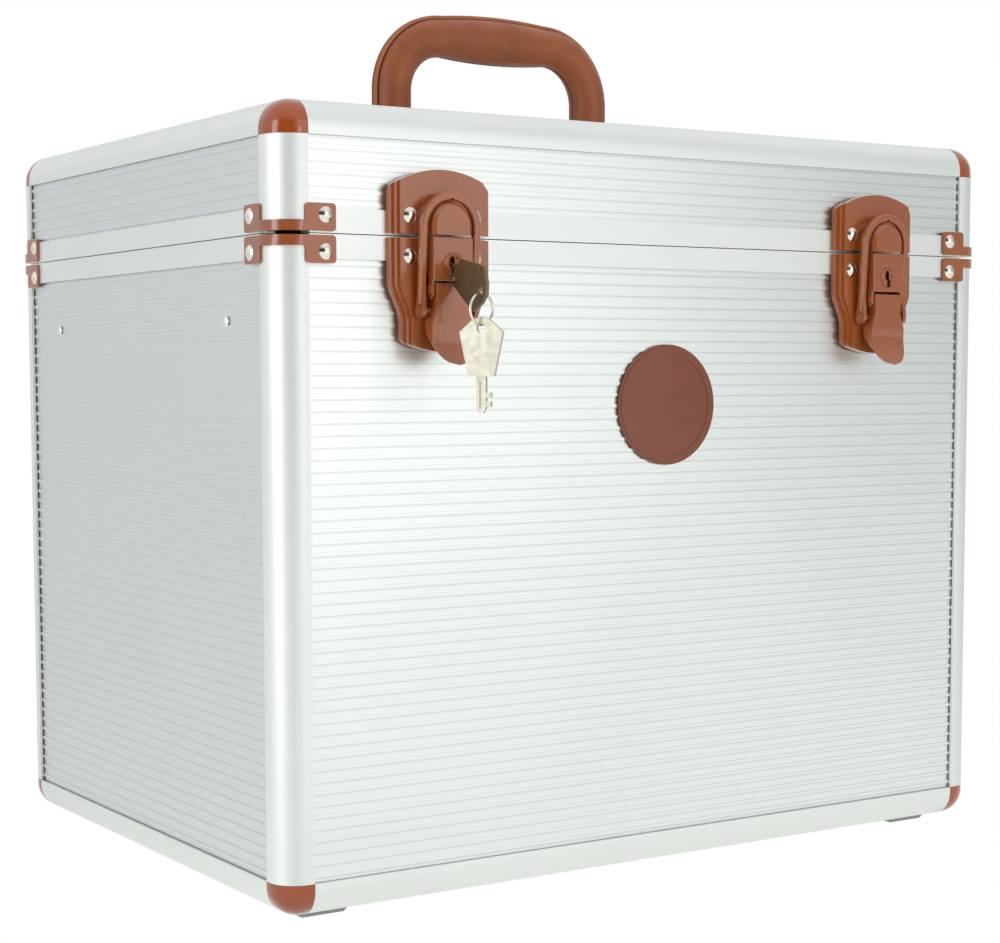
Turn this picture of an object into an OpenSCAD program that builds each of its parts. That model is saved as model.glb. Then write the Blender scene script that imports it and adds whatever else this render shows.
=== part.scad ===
// Horse grooming box: a ribbed aluminium case with a hinged lid, brown corner hardware, two lockable
// draw latches, a leather-covered handle, keys and a lift-out tray. Millimetres, +Z up, front towards -Y.
// The origin lies on the floor under the middle of the whole object, keys and hinges included.

/* [Case] */
// Width of the case
case_w = 400; // [360:1:460]
// Depth of the case, front to back
case_d = 290; // [240:1:340]
// Height of the closed case, without feet and handle
case_h = 340; // [300:1:400]
// Height of the lid
lid_h = 55; // [52:1:80]
// Gap between the two rims
seam_gap = 0.4; // [0.2:0.1:0.8]

/* [Edge extrusions] */
// Leg of an edge extrusion
edge_leg = 15; // [14:0.5:18]
// Outer radius of an edge extrusion
edge_r = 12.5; // [10:0.5:13]
// Wall of an edge extrusion
edge_skin = 1.2; // [1:0.1:1.5]
// How far a panel edge reaches into its slot
slot_depth = 5.6; // [4:0.2:6]
// Height of a rim strip
rim_h = 10.2; // [9.8:0.2:14]
// Web of a rim strip
rim_web = 1.4; // [1:0.1:2]

/* [Panels] */
// Thickness of a panel without its ribs
panel_t = 4; // [3:0.5:5]
// Distance from rib to rib
rib_pitch = 5; // [4:0.5:8]
// Width of a rib
rib_w = 1.4; // [1:0.1:2]
// Height of a rib
rib_h = 0.6; // [0.3:0.1:0.8]

/* [Corner braces] */
// Thickness of a brace
brace_t = 1; // [0.8:0.1:1.5]
// Reach of a brace from the case corner
brace_reach = 27; // [26:0.5:32]
// Width of a brace's ear
ear_w = 14; // [10:0.5:16]
// Height of a brace's ear
ear_h = 11.4; // [11:0.2:16]
// Height of the band round the post
band_h = 4.4; // [3:0.2:6]
// Gap from the seam to the bands
band_gap = 0.8; // [0.4:0.1:1.5]

/* [Rivets] */
// Radius of a rivet's head
rivet_r = 3.3; // [2.5:0.1:3.5]
// Height of a rivet's head
rivet_h = 1.3; // [0.8:0.1:2]
// Radius of a rivet's shank
shank_r = 1.5; // [1:0.1:2]
// Distance of the rim rivets from the seam
rivet_rise = 7.5; // [7:0.1:8]

/* [Latches] */
// Distance of a latch's middle from the case's side
latch_inset = 76; // [60:1:110]
// Width of the latch plates
plate_w = 49.4; // [46:0.2:60]
// Thickness of the latch plates
plate_t = 5.2; // [4.6:0.2:6]
// Width of one step along a plate's sides
plate_step = 1.9; // [1:0.1:2.2]
// Radius of a plate's corners
plate_corner_r = 2.5; // [1.5:0.1:4]
// Height of the keeper plate
keeper_h = 26.9; // [24:0.1:30]
// Height of the lower plate
lower_plate_h = 47.3; // [44:0.1:56]
// Gap from the seam to each plate
plate_gap = 0.9; // [0.6:0.1:1.5]
// Distance between a plate's two rivets
plate_rivet_w = 32; // [30:0.5:36]
// Width of the lock housing
housing_w = 19.5; // [18:0.5:20]
// Height of the lock housing
housing_h = 18.5; // [17:0.1:22]
// Wall of the lock housing
housing_wall = 1.2; // [1:0.1:1.4]
// Distance of the lock's middle below the housing's top
lock_drop = 11.7; // [11:0.1:12]
// Radius of the lock plug
plug_r = 4.8; // [4.8:0.1:5.2]
// Width of the lever at its widest
lever_w = 20.8; // [18:0.2:21]
// Length of the lever
lever_len = 33.8; // [31:0.1:38]
// Thickness of the lever's plate
lever_t = 1.2; // [1:0.1:1.6]
// How far the lever's tip bends outwards
lever_flare = 5; // [3:0.2:6]
// How deep the lever's side walls are at its belly
lever_skirt = 5.2; // [3:0.1:5.6]
// Width of the bail over its legs
bail_w = 29.4; // [28:0.2:31]
// Width of the bail's bar
bail_bar = 3.4; // [2.8:0.1:3.6]
// Depth of the bail's bar, front to back
bail_deep = 3; // [2.4:0.1:3.4]
// Height of the keeper's tongue
tongue_h = 13.5; // [12:0.1:15]

/* [Handle] */
// Distance between the middles of the handle's legs
handle_span = 119; // [100:1:140]
// Height of the grip's middle above the lid
grip_rise = 55.5; // [50:0.5:70]
// Radius of the grip at its middle
grip_r = 11.2; // [10.2:0.1:14]
// Radius of the handle's bends and legs
bend_tube_r = 9.4; // [8.6:0.1:10]
// Bend radius of the handle's centre line
bend_r = 28; // [22:0.5:34]
// Radius of the welt along the handle's outer edge
welt_r = 1.6; // [1.2:0.1:2.2]

/* [Keys] */
// Length of a key's bow
bow_len = 24.4; // [22:0.1:26]
// Width of a key's bow
bow_w = 20; // [17:0.1:21]
// Length of a key's blade
blade_len = 15; // [14:0.1:15.6]
// Width of a key's blade
blade_w = 4.4; // [4:0.1:4.6]
// Thickness of a key
key_t = 1.6; // [1.2:0.1:1.8]
// How far the key in the lock droops, in degrees
key_droop = 24; // [20:1:25]
// Radius of the key ring, at the middle of its wire
ring_r = 6.5; // [6:0.1:8]

/* [Feet] */
// Side of a foot
foot_w = 25; // [20:0.5:32]
// Height of a foot under the case
foot_h = 3.8; // [3:0.1:6]
// Distance of a foot from the case's sides
foot_in = 16; // [16:0.5:22]

/* [Hinges] */
// Length of a hinge
hinge_len = 60; // [50:1:80]
// Distance of a hinge's middle from the case's side
hinge_inset = 90; // [70:1:120]
// Radius of a knuckle
knuckle_r = 3.2; // [2.8:0.1:4]
// Radius of a hinge pin
hinge_pin_r = 1.5; // [1.2:0.1:1.8]

/* [Badge] */
// Radius of the badge plate
badge_r = 27.5; // [20:0.5:34]
// Distance of the badge's middle below the seam
badge_drop = 72; // [50:1:120]
// Thickness of the badge plate
badge_t = 1.2; // [0.8:0.1:2]

/* [Tray] */
// Depth of the tray
tray_h = 38; // [30:0.5:38]
// Wall of the tray
tray_wall = 1.8; // [1.2:0.1:3]
// Distance of the rail rivets below the seam
rail_drop = 35; // [30:0.5:40]
// Distance between the two rivets of a rail
rail_rivet_span = 190; // [150:1:200]
// Width of a rail's shelf
shelf_w = 12; // [8:0.5:18]

/* [Hidden] */
$fn = 48;
// Play between butted or nested pieces
play = 0.1;
// Running play of pins and plugs
run_play = 0.06;
// Length by which a cut overruns what it cuts
over = 2;

seam_z = case_h - lid_h;
base_top = seam_z - seam_gap / 2;
lid_bottom = seam_z + seam_gap / 2;
slot_w = panel_t + rib_h + 2 * play;
edge_in = edge_skin + slot_w + edge_skin;
slot_start = edge_leg - slot_depth;
panel_out = edge_skin + play;
panel_face = panel_out + rib_h;
panel_in = panel_face + panel_t;
panel_inset = slot_start + 2 * play;
cap_reach = edge_leg + play;
run_w = case_w - 2 * cap_reach;
run_d = case_d - 2 * cap_reach;
post_gap = band_gap + brace_t;
panel_top = min(base_top - rim_web, seam_z - post_gap) - play;
lid_panel_top = lid_h - max(seam_gap / 2 + rim_web, post_gap) - play;
brace_rivet_in = brace_reach - ear_w / 3;
ear_round = ear_h / 7;

// Latch, measured outwards from the front and up from the seam
eye_r = 3;
eye_t = 2;
eye_gap = 0.3;
paddle_len = 10;
crown_notch_r = 0.9;
bar_round = 1;
pivot_pin_r = 1.3;
pivot_head_r = 2.1;
pivot_head_t = 0.6;
lever_lead = 1.9;
lever_face = pivot_pin_r + 2 * play + lever_t;
lever_head = 2.2;
lever_gap = 1.2;
lever_wall = 1.2;
housing_step = 0.6;
housing_gap = 0.5;
tongue_gap = 0.2;
tongue_edge = 1.4;
bail_gap = 1.1;
bail_lean = 3;
bail_drop = 8.8;
bail_pivot_out = plate_t + eye_gap + eye_r;
lever_pivot_out = bail_pivot_out + lever_lead;
lever_out = lever_pivot_out + lever_face;
housing_out = lever_out + housing_step;
housing_top = -housing_gap;
housing_bottom = housing_top - housing_h;
lever_top = housing_bottom - lever_gap;
lever_pivot_z = lever_top - lever_head;
lever_tip = lever_top - lever_len;
lever_neck_w = housing_w - 2 * housing_wall - lever_wall;
bail_pivot_z = lever_pivot_z - bail_drop;
bail_top = tongue_gap + tongue_h + bail_gap + bail_bar;
bail_leg_x = (bail_w - bail_bar) / 2;
bail_reach_z = bail_top - bail_bar / 2 - bail_pivot_z;
bail_tilt = atan(bail_lean / bail_reach_z);
bail_arm = norm([bail_lean, bail_reach_z]) - bail_leg_x;
tongue_r = housing_w / 2 - tongue_gap;
lock_z = housing_top - lock_drop;
key_slot_w = key_t + 6 * play;
key_slot_wall = 0.35;
plug_lip = 0.4;
cam_w = 3.8;
dish_r = 2.9;
dish_up = 1.2;
dish_deep = 1.1;
dish_lip_r = 0.3;
lens_r = 3.05;
lens_off = 1.75;
plate_bore_gap = 2.4;
// Heights of a plate's three steps, as shares of its thickness
plate_level_shares = [0.43, 0.71, 1];
keeper_arch_share = 0.27;
lower_arch_share = 0.095;
// Where the lower plate's sides start and end to narrow, as shares of its height, and the width left
shoulder_share = 0.38;
waist_share = 0.72;
waist_w_share = 0.78;
// Places along the lever, as shares of its length
lever_neck_share = 0.2;
lever_belly_share = 0.52;
lever_round_share = 0.62;
lever_skirt_share = 0.87;
lever_round_power = 2.4;
lever_crease = 1;

// Keys
key_hole_r = 2;
key_hole_in = 4.6;
ring_wire_r = 0.55;
key_sink = 1.9;
key_standoff = 3.4;
ring_yaw = 11;
spare_yaw = 30;
// Half outline of a bow, as shares of its length and half width
bow_shares = [[0, 0.6], [0.745, 1], [0.94, 0.42], [1, 0]];
// Start, end and depth of the bits, as shares of the blade's length and width
bit_shares = [[0.44, 0.58, 0.52], [0.68, 0.83, 0.52]];
groove_share = 0.3;
key_hole_reach = key_standoff + bow_len - key_hole_in;
key_hole_out = housing_out + key_hole_reach * cos(key_droop);
key_hole_z = lock_z - key_sink - key_hole_reach * sin(key_droop);
ring_hang = key_hole_r - ring_wire_r - 3 * play;
ring_z = key_hole_z - ring_hang - ring_r;
spare_hole_z = ring_z - ring_r - ring_hang;
spare_reach = (bow_w * cos(spare_yaw) + key_t) / 2;

// Hinges
leaf_t = 1.2;
leaf_over = 2.6;
leaf_h = rim_h + leaf_over;
hinge_x = case_w / 2 - hinge_inset;
knuckle_count = 5;
knuckle_gap = 0.3;
hinge_off = knuckle_r + 2 * play;
hinge_end_in = 8;
knuckle_w = hinge_len / knuckle_count;

// Frame: the case is moved back so that the front-to-back middle includes keys and hinges
front_reach = key_hole_out + spare_reach;
rear_reach = hinge_off + knuckle_r;
frame_y = (front_reach - rear_reach - case_d) / 2;

// Handle
handle_plate_w = 44;
handle_plate_d = 25;
handle_plate_t = 3;
handle_screw_r = 2;
handle_screw_head_r = 3.6;
handle_screw_head_h = 1.6;
handle_screw_top_r = 2.5;
handle_screw_in = 5.4;
grip_len = handle_span - 2 * bend_r;
barrel_r = ((grip_len / 2) ^ 2 + (grip_r - bend_tube_r) ^ 2) / (2 * (grip_r - bend_tube_r));
grip_core_r = bend_tube_r / 2;
handle_foot_z = case_h - panel_out + handle_plate_t;

// Badge
badge_z = seam_z - badge_drop;
badge_floor = badge_t * 3 / 4;

// Feet
foot_taper = 2;
foot_screw_r = 1.6;
foot_recess_r = 4;
foot_top = panel_face;
foot_screw_short = 1;
foot_screw_len = panel_t - foot_screw_short;

// Tray and its rails
rail_t = 1.2;
rail_h = 14;
rail_in = edge_in + play;
rail_end = 20;
rail_len = rail_rivet_span + 2 * rail_end;
rail_rivet_r = 2.4;
rail_rivet_h = 1;
shelf_z = seam_z - rail_drop - rail_h / 2;
tray_side_gap = 1.2;
tray_w = case_w - 2 * (rail_in + rail_t + tray_side_gap);
tray_d = case_d - 2 * (edge_in + 2 * tray_side_gap);
tray_z = shelf_z + rail_t + play;
tray_round = 6;
divider_t = 3;
divider_drop = 3;
grip_slot_w = 84;
grip_slot_h = 18;

aluminium = "#d9dedc";
brown = "#9c5a3c";
glossy_brown = "#a3532b";
nickel = "#dedacb";
lining_grey = "#3f4144";
leather = "#8f5637";

// Places a piece drawn from the middle of the front's bottom edge into the object's frame
module in_frame() {
    translate([0, frame_y, foot_h]) children();
}

// Four corners of the case, drawn at the front left one
module at_corners() {
    for (sx = [0, 1], sy = [0, 1])
        mirror([sx, 0, 0])
            translate([0, case_d / 2, 0])
                mirror([0, sy, 0])
                    translate([-case_w / 2, -case_d / 2, 0])
                        children();
}

// Turns a piece drawn at the bottom of the case upside down under the top
module from_top() {
    translate([0, 0, case_h]) mirror([0, 0, 1]) children();
}

// Turns a piece drawn at the front to the back
module at_back() {
    translate([0, case_d, 0]) mirror([0, 1, 0]) children();
}

// Left (-1) or right (1) latch, at the seam on the front
module at_latch(side) {
    translate([side * (case_w / 2 - latch_inset), 0, seam_z]) children();
}

// Extrudes an outline drawn in X and Z outwards from the front
module outwards(from, to) {
    translate([0, -from, 0]) rotate([90, 0, 0]) linear_extrude(to - from) children();
}

// Extrudes a side view, drawn outwards and up, across X
module across(width) {
    mirror([0, 1, 0]) rotate([90, 0, 90]) translate([0, 0, -width / 2]) linear_extrude(width) children();
}

// Puts a piece drawn along +Z on the front face, pointing outwards
module on_front(x, z) {
    translate([x, 0, z]) rotate([90, 0, 0]) children();
}

// Puts a piece drawn along +Z on the left face, pointing outwards
module on_left(y, z) {
    translate([0, y, z]) rotate([0, -90, 0]) children();
}

module round_rect(w, h, r) {
    square([w - 2 * r, h], center = true);
    square([w, h - 2 * r], center = true);
    for (sx = [-1, 1], sy = [-1, 1])
        translate([sx * (w / 2 - r), sy * (h / 2 - r)]) circle(r);
}

// Square with its corner at the origin rounded
module rounded_corner(leg, r) {
    intersection() {
        square(leg);
        union() {
            translate([r, r]) circle(r);
            translate([r, 0]) square([leg, leg]);
            translate([0, r]) square([leg, leg]);
        }
    }
}

module edge_profile() {
    difference() {
        rounded_corner(edge_leg, edge_r);
        translate([edge_in, edge_in]) square(edge_leg);
        translate([slot_start, edge_skin]) square([edge_leg, slot_w]);
        translate([edge_skin, slot_start]) square([slot_w, edge_leg]);
    }
}

module rim_profile() {
    difference() {
        square([edge_in, rim_h]);
        translate([edge_skin, -over]) square([slot_w, rim_h - rim_web + over]);
    }
}

// Four straight lengths round the case between the corners, from a profile drawn inwards and up
module four_lengths() {
    for (s = [0, 1])
        translate([0, s * case_d, 0])
            mirror([0, s, 0])
                translate([-run_w / 2, 0, 0])
                    rotate([90, 0, 90])
                        linear_extrude(run_w) children();
    for (s = [0, 1])
        mirror([s, 0, 0])
            translate([-case_w / 2, case_d - cap_reach, 0])
                rotate([90, 0, 0])
                    linear_extrude(run_d) children();
}

// Section of a ribbed sheet, drawn inwards from the outer plane and along its height
module ribbed_section(low, high) {
    translate([panel_face, low]) square([panel_t, high - low]);
    for (z = [low + rib_pitch / 2 : rib_pitch : high - rib_w])
        translate([panel_out, z]) square([rib_h + panel_t / 2, rib_w]);
}

module front_sheet(low, high) {
    length = case_w - 2 * panel_inset;
    translate([-length / 2, 0, 0]) rotate([90, 0, 90]) linear_extrude(length) ribbed_section(low, high);
}

module left_sheet(low, high) {
    length = case_d - 2 * panel_inset;
    translate([-case_w / 2, case_d - panel_inset, 0])
        rotate([90, 0, 0])
            linear_extrude(length) ribbed_section(low, high);
}

// Room for the ball corners at the bottom of the case
module cap_room() {
    at_corners() cube(cap_reach);
}

module base_sheet_front() {
    difference() {
        front_sheet(panel_inset, panel_top);
        cap_room();
    }
}

module base_sheet_left() {
    difference() {
        left_sheet(panel_inset, panel_top);
        cap_room();
        rail_rivet_places() translate([0, 0, -panel_in - over])
            cylinder(r = shank_r + play, h = panel_in + over);
    }
}

module base_front_panel() in_frame() color(aluminium) base_sheet_front();
module base_back_panel() in_frame() color(aluminium) at_back() base_sheet_front();
module base_left_panel() in_frame() color(aluminium) base_sheet_left();
module base_right_panel() in_frame() color(aluminium) mirror([1, 0, 0]) base_sheet_left();

module base_bottom_panel() in_frame() color(aluminium) {
    difference() {
        translate([panel_inset - case_w / 2, panel_inset, panel_face])
            cube([case_w - 2 * panel_inset, case_d - 2 * panel_inset, panel_t]);
        cap_room();
        foot_places() cylinder(r = foot_screw_r + play, h = panel_in);
    }
}

// Lid sheets are drawn like base sheets, from the top of the case down
module lid_sheet_front() {
    from_top() difference() {
        front_sheet(panel_inset, lid_panel_top);
        cap_room();
    }
}

module lid_sheet_left() {
    from_top() difference() {
        left_sheet(panel_inset, lid_panel_top);
        cap_room();
    }
}

module lid_front_panel() in_frame() color(aluminium) lid_sheet_front();
module lid_back_panel() in_frame() color(aluminium) at_back() lid_sheet_front();
module lid_left_panel() in_frame() color(aluminium) lid_sheet_left();
module lid_right_panel() in_frame() color(aluminium) mirror([1, 0, 0]) lid_sheet_left();

module lid_top_panel() in_frame() color(aluminium) {
    length = case_w - 2 * panel_inset;
    difference() {
        translate([-length / 2, 0, case_h])
            rotate([0, 90, 0])
                linear_extrude(length) ribbed_section(panel_inset, case_d - panel_inset);
        from_top() cap_room();
        handle_screw_places() translate([0, 0, -panel_in])
            cylinder(r = handle_screw_r + play, h = panel_in);
    }
}

module base_posts() in_frame() color(aluminium) {
    at_corners() translate([0, 0, cap_reach]) linear_extrude(seam_z - post_gap - cap_reach) edge_profile();
}

module lid_posts() in_frame() color(aluminium) {
    from_top() at_corners() translate([0, 0, cap_reach])
        linear_extrude(lid_h - post_gap - cap_reach) edge_profile();
}

module base_edges() in_frame() color(aluminium) four_lengths() edge_profile();
module lid_edges() in_frame() color(aluminium) from_top() four_lengths() edge_profile();

module base_rim() in_frame() color(aluminium) {
    difference() {
        translate([0, 0, base_top - rim_h]) four_lengths() rim_profile();
        rim_rivet_holes(-1);
    }
}

module lid_rim() in_frame() color(aluminium) {
    difference() {
        translate([0, 0, lid_bottom + rim_h]) mirror([0, 0, 1]) four_lengths() rim_profile();
        rim_rivet_holes(1);
    }
}

// One glossy ball corner, drawn at the front left bottom corner
module ball_corner() {
    difference() {
        union() {
            translate([edge_r, edge_r, 0])
                rotate([0, 0, 180])
                    rotate_extrude(angle = 90)
                        intersection() {
                            square([edge_r, edge_leg]);
                            union() {
                                translate([0, edge_r]) circle(edge_r);
                                translate([0, edge_r]) square([edge_r, edge_leg]);
                            }
                        }
            translate([edge_r, 0, 0])
                rotate([90, 0, 90])
                    linear_extrude(edge_leg - edge_r) rounded_corner(edge_leg, edge_r);
            translate([0, edge_leg, 0])
                rotate([90, 0, 0])
                    linear_extrude(edge_leg - edge_r) rounded_corner(edge_leg, edge_r);
        }
        translate([edge_in, edge_in, edge_in]) cube(edge_leg);
    }
}

module base_corner_caps() in_frame() color(glossy_brown) at_corners() ball_corner();
module lid_corner_caps() in_frame() color(glossy_brown) from_top() at_corners() ball_corner();

// Strip that wraps the rounded corner, seen from above
module brace_strip(reach) {
    difference() {
        translate([-brace_t - play, -brace_t - play])
            rounded_corner(reach + brace_t + play, edge_r + brace_t + play);
        translate([-play, -play]) rounded_corner(brace_reach + over, edge_r + play);
    }
}

// One brace, drawn upwards from the seam at the front left corner
module brace() {
    ear_mid = brace_reach - ear_w / 2;
    difference() {
        union() {
            translate([0, 0, band_gap]) linear_extrude(band_h) brace_strip(brace_reach - ear_w / 2);
            translate([0, 0, band_gap]) linear_extrude(brace_t) difference() {
                translate([-brace_t, -brace_t]) rounded_corner(edge_leg + brace_t, edge_r + brace_t);
                translate([edge_in, edge_in]) square(edge_leg);
            }
            brace_ear(ear_mid);
            mirror([1, -1, 0]) brace_ear(ear_mid);
        }
        brace_rivet_pair(1) translate([0, 0, -over]) cylinder(r = shank_r + play, h = 2 * over + brace_t);
    }
}

module brace_ear(middle) {
    translate([middle, 0, band_gap + ear_h / 2])
        outwards(play, brace_t + play) round_rect(ear_w, ear_h, ear_round);
}

// Seats of a corner's two brace rivets, above (1) or below (-1) the seam
module brace_rivet_pair(up) {
    on_front(brace_rivet_in, up * rivet_rise) children();
    on_left(brace_rivet_in, up * rivet_rise) children();
}

module base_corner_braces() in_frame() color(brown)
    at_corners() translate([0, 0, seam_z]) mirror([0, 0, 1]) brace();
module lid_corner_braces() in_frame() color(brown) at_corners() translate([0, 0, seam_z]) brace();

// Domed rivet, its head seated at the origin
module rivet(head_r, head_h, shank_len) {
    dome_r = (head_r ^ 2 + head_h ^ 2) / (2 * head_h);
    rotate_extrude() intersection() {
        translate([0, head_h - dome_r]) circle(dome_r);
        square([head_r, head_h]);
    }
    translate([0, 0, -shank_len]) cylinder(r = shank_r, h = shank_len + head_h / 2);
}

// Seats of all rivets in one rim: braces, latch plates and hinge leaves, above (1) or below (-1) the seam
module rim_rivet_seats(up) {
    at_corners() translate([0, 0, seam_z]) brace_rivet_pair(up)
        translate([0, 0, brace_t + play]) children();
    for (side = [-1, 1], s = [-1, 1])
        at_latch(side) on_front(s * plate_rivet_w / 2, up * (plate_gap + rivet_rise))
            translate([0, 0, plate_t + play]) children();
    for (side = [-1, 1], s = [-1, 0, 1])
        at_back() translate([side * hinge_x, 0, seam_z])
            on_front(s * (hinge_len / 2 - hinge_end_in), up * (rivet_rise + leaf_t))
                translate([0, 0, leaf_t + play]) children();
}

module rim_rivet_holes(up) {
    depth = plate_t + edge_skin + over;
    rim_rivet_seats(up) translate([0, 0, -depth]) cylinder(r = shank_r + play, h = depth);
}

module rim_rivets(up) {
    at_corners() translate([0, 0, seam_z]) brace_rivet_pair(up)
        translate([0, 0, brace_t + play]) rivet(rivet_r, rivet_h, brace_t + edge_skin);
    for (side = [-1, 1], s = [-1, 1])
        at_latch(side) on_front(s * plate_rivet_w / 2, up * (plate_gap + rivet_rise))
            translate([0, 0, plate_t + play]) rivet(rivet_r, rivet_h, plate_t + edge_skin);
    for (side = [-1, 1], s = [-1, 0, 1])
        at_back() translate([side * hinge_x, 0, seam_z])
            on_front(s * (hinge_len / 2 - hinge_end_in), up * (rivet_rise + leaf_t))
                translate([0, 0, leaf_t + play]) rivet(rail_rivet_r, rail_rivet_h, leaf_t + edge_skin);
}

module base_rivets() in_frame() color(nickel) rim_rivets(-1);
module lid_rivets() in_frame() color(nickel) rim_rivets(1);

// Lining sheets between the inner legs of a box of this height, drawn from its closed end
module lining_box(height) {
    sheet_t = edge_in - panel_in - play;
    for (s = [0, 1])
        translate([0, s * case_d, 0]) mirror([0, s, 0])
            translate([-run_w / 2, panel_in + play, cap_reach]) cube([run_w, sheet_t, height - cap_reach]);
    for (s = [0, 1])
        mirror([s, 0, 0])
            translate([panel_in + play - case_w / 2, cap_reach, cap_reach])
                cube([sheet_t, run_d, height - cap_reach]);
    translate([-run_w / 2, cap_reach, panel_in + play]) cube([run_w, run_d, sheet_t]);
}

module base_lining() in_frame() color(lining_grey) difference() {
    lining_box(base_top - rim_h - play);
    for (s = [0, 1])
        mirror([s, 0, 0]) rail_rivet_places()
            translate([0, 0, -edge_in - over]) cylinder(r = shank_r + play, h = edge_in + over);
}

module lid_lining() in_frame() color(lining_grey) difference() {
    from_top() lining_box(lid_h - seam_gap / 2 - rim_h - play);
    handle_screw_places() translate([0, 0, -edge_in - over])
        cylinder(r = handle_screw_head_r + play, h = edge_in + over);
}

// Middles of the four feet, on the bottom plane of the case
module foot_places() {
    at_corners() translate([foot_in + foot_w / 2, foot_in + foot_w / 2, 0]) children();
}

// Side view of a foot: narrower at the floor
module foot_side() {
    half = foot_w / 2;
    polygon([
        [-half + foot_taper, -foot_h], [half - foot_taper, -foot_h],
        [half, 0], [half, foot_top - play], [-half, foot_top - play], [-half, 0]
    ]);
}

module feet() in_frame() color("#5b5d60") foot_places() difference() {
    intersection() {
        across(foot_w) foot_side();
        translate([0, foot_w / 2, 0]) outwards(0, foot_w) foot_side();
    }
    translate([0, 0, -foot_h - over]) cylinder(r = foot_recess_r, h = foot_h + over);
    cylinder(r = foot_screw_r + play, h = foot_top + over);
}

module foot_screws() in_frame() color(nickel) foot_places() {
    translate([0, 0, -foot_h / 2]) cylinder(r = foot_recess_r - 2 * play, h = foot_h / 2 - play / 2);
    translate([0, 0, -foot_h / 4]) cylinder(r = foot_screw_r, h = foot_h / 4 + foot_top + foot_screw_len);
}

// Plain round badge with a raised border
module badge_plate() in_frame() color(brown) translate([0, panel_out - play, badge_z])
    rotate([90, 0, 0])
        rotate_extrude() {
            square([badge_r - 2 * badge_t, badge_floor]);
            translate([badge_r - 3 * badge_t, 0]) square([2 * badge_t, badge_t]);
            translate([badge_r - badge_t, 0]) square([badge_t, badge_floor]);
        }

// Seats of one rail's rivets on the left side
module rail_rivet_places() {
    for (s = [-1, 1])
        translate([-case_w / 2 + panel_out, 0, 0])
            on_left(case_d / 2 + s * rail_rivet_span / 2, seam_z - rail_drop)
                children();
}

module tray_rail() {
    difference() {
        translate([rail_in - case_w / 2, (case_d - rail_len) / 2, shelf_z]) {
            cube([rail_t, rail_len, rail_h]);
            cube([shelf_w, rail_len, rail_t]);
        }
        rail_rivet_places()
            translate([0, 0, -rail_in - rail_t - over])
                cylinder(r = shank_r + play, h = rail_in + rail_t + over);
    }
}

module tray_rail_left() in_frame() color(aluminium) tray_rail();
module tray_rail_right() in_frame() color(aluminium) mirror([1, 0, 0]) tray_rail();

module tray_rail_rivets() in_frame() color(nickel) for (s = [0, 1])
    mirror([s, 0, 0]) rail_rivet_places()
        rivet(rail_rivet_r, rail_rivet_h, rail_in + rail_t - panel_out);

function smooth(t) = t * t * (3 - 2 * t);

// Left half of an outline whose right half ends on the middle line
function mirrored(right) = [for (i = [len(right) - 2 : -1 : 0]) [-right[i][0], right[i][1]]];

// Right half of a plate's arched end, from the corner to the crown: a rounded corner, then an arch that
// would meet the full half width at its sag
function arch_points(half, full, height, sag) =
    let (
        steps = 12,
        arch_r = (full ^ 2 + sag ^ 2) / (2 * sag),
        arch_z = height - arch_r,
        corner = half - plate_corner_r,
        rise = sqrt((arch_r - plate_corner_r) ^ 2 - corner ^ 2),
        turn = atan2(rise, corner)
    )
    concat(
        [for (i = [0 : steps]) let (a = turn * i / steps)
            [corner + plate_corner_r * cos(a), arch_z + rise + plate_corner_r * sin(a)]],
        [for (i = [1 : steps]) let (a = turn + (90 - turn) * i / steps)
            [arch_r * cos(a), arch_z + arch_r * sin(a)]]
    );

// Half width of the lower plate at a share of its height: straight, then drawn in to the waist
function lower_half(t) =
    plate_w / 2 * (1 - (1 - waist_w_share)
        * smooth(min(1, max(0, (t - shoulder_share) / (waist_share - shoulder_share)))));

// Outline of the lower latch plate, its sides narrowed by an inset
module lower_plate_outline(inset) {
    steps = 18;
    waist = lower_half(1);
    side = [
        for (i = [0 : steps])
            let (t = waist_share * i / steps)
            [lower_half(t) - inset, lower_plate_h * t]
    ];
    sag = lower_plate_h * lower_arch_share;
    right = concat(side, arch_points(waist - inset, waist, lower_plate_h, sag));
    translate([0, -plate_gap]) mirror([0, 1]) polygon(concat(right, mirrored(right)));
}

module keeper_outline(inset) {
    half = plate_w / 2;
    sag = keeper_h * keeper_arch_share;
    right = concat([[half - inset, 0]], arch_points(half - inset, half, keeper_h, sag));
    translate([0, plate_gap]) polygon(concat(right, mirrored(right)));
}

module latch_plate_rivet_bores(up) {
    for (s = [-1, 1])
        on_front(s * plate_rivet_w / 2, up * (plate_gap + rivet_rise))
            translate([0, 0, -over]) cylinder(r = shank_r + play, h = plate_t + 2 * over);
}

// Plates with stepped sides: each step is one plate_step narrower than the one under it
module latch_plate() difference() {
    for (i = [0 : 2])
        outwards(play, play + plate_t * plate_level_shares[i]) lower_plate_outline(i * plate_step);
    latch_plate_rivet_bores(-1);
    on_front(0, lock_z) translate([0, 0, -over])
        cylinder(r = plug_r + plate_bore_gap, h = plate_t + 2 * over);
}

module keeper() difference() {
    union() {
        for (i = [0 : 2])
            outwards(play, play + plate_t * plate_level_shares[i]) keeper_outline(i * plate_step);
        tongue();
    }
    latch_plate_rivet_bores(1);
}

// Round-topped tongue that the bail hooks over, with a bevelled front edge
module tongue_half_section() {
    polygon([
        [0, 0], [tongue_r, 0], [tongue_r, housing_out - plate_t / 2 - tongue_edge],
        [tongue_r - tongue_edge, housing_out - plate_t / 2], [0, housing_out - plate_t / 2]
    ]);
}

module tongue() {
    straight = tongue_h - tongue_r;
    translate([0, -plate_t / 2, tongue_gap + straight])
        rotate([90, 0, 0])
            rotate_extrude(angle = 180) tongue_half_section();
    translate([0, -plate_t / 2, tongue_gap])
        linear_extrude(straight)
            for (s = [0, 1]) mirror([s, 0]) mirror([0, 1]) tongue_half_section();
}

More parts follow.
